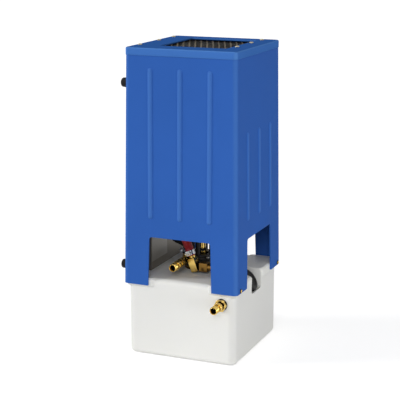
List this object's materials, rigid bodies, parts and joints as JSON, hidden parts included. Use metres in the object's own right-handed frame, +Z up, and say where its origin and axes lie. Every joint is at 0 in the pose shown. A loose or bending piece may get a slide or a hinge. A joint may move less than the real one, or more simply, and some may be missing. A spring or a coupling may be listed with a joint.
{
  "type": "welding water cooler",
  "caption": "Upright torch coolant recirculator: white moulded tank, tapered blue cover on four legs, finned coil under the top opening, motor and pump inside.",
  "frame": {"origin": "middle of the tank's footprint, on the floor", "axes": "X right, Y back, Z up; the front with the coolant fittings faces -Y"},
  "size_m": [0.258, 0.2997, 0.6141],
  "materials": {
    "tank_white": "translucent white blow-moulded plastic, satin",
    "cover_blue": "blue moulded plastic, satin with a fine grain",
    "lid_blue": "blue moulded plastic, satin",
    "black_rubber": "matt black rubber",
    "black_plastic": "black plastic, satin",
    "brass": "turned and forged brass, polished",
    "steel": "bright steel",
    "zinc": "galvanised sheet, dull grey",
    "dark_iron": "black painted iron",
    "copper": "tarnished copper",
    "fin_metal": "dark lacquered aluminium fins",
    "winding": "lacquered copper wire",
    "red_hose": "red rubber hose, satin",
    "screw_tan": "yellow passivated steel"
  },
  "bodies": {
    "chassis": {"tank": "tank_white", "leg_inserts": "brass", "return_fitting": "brass", "return_washer": "black_rubber", "return_nut": "brass", "dip_tube": "black_plastic", "strainer": "black_plastic", "deck_grommet": "black_rubber", "suction_elbow": "brass", "pump_casing": "dark_iron", "pump_base": "brass", "pump_screws": "steel", "gland_ring": "brass", "pump_lantern": "dark_iron", "motor_lower_bell": "dark_iron", "motor_upper_bell": "dark_iron", "motor_shell": "dark_iron", "motor_stator": "steel", "motor_windings": "winding", "motor_bearings": "steel", "motor_bolts": "zinc", "terminal_box": "black_plastic", "motor_cradle": "zinc", "motor_bands": "steel", "chassis_panel": "zinc", "chassis_screws": "brass", "fan_shroud": "zinc", "coil_fins": "fin_metal", "coil_tube": "copper", "coil_end_plates": "zinc", "outlet_block": "brass", "outlet_elbow": "brass", "outlet_fitting": "brass", "red_hose": "red_hose", "black_hose": "black_rubber", "hose_clamps": "steel", "cover_shell": "cover_blue", "lid_frame": "lid_blue", "lid_screws": "screw_tan", "leg_washers": "black_rubber", "leg_screws": "brass", "bumper_feet": "black_rubber", "bumper_screws": "steel", "switch_bezel": "black_plastic", "cord_gland": "black_plastic", "gland_nut": "black_plastic", "inner_leads": "black_plastic"},
    "drive": {"drive_shaft": "steel", "shaft_sleeve": "brass", "shaft_slinger": "black_rubber", "impeller": "brass", "motor_rotor": "zinc", "fan": "dark_iron"},
    "cap_seal": {"cap_liner": "black_rubber"},
    "cap": {"filler_cap": "black_plastic"},
    "rocker": {"switch_rocker": "black_plastic"}
  },
  "joints": [
    {"name": "motor_spin", "type": "hinge", "parent": "chassis", "child": "drive", "pos_m": [-0.0045, 0, 0.346], "axis": [0, 0, 1], "continuous": true},
    {"name": "cap_lift", "type": "slide", "parent": "chassis", "child": "cap_seal", "axis": [0.788, 0, 0.6157], "range_m": [0, 0.012]},
    {"name": "cap_turn", "type": "hinge", "parent": "cap_seal", "child": "cap", "pos_m": [0.0885, 0, 0.1365], "axis": [0.788, 0, 0.6157], "range_deg": [0, 1080]},
    {"name": "switch_rock", "type": "hinge", "parent": "chassis", "child": "rocker", "pos_m": [0.029, 0.12466, 0.2662], "axis": [1, 0, 0], "range_deg": [0, 24]}
  ],
  "couplings": [
    {"joint": "cap_turn", "follows": "cap_lift", "rad_per_m": 1570.8}
  ]
}
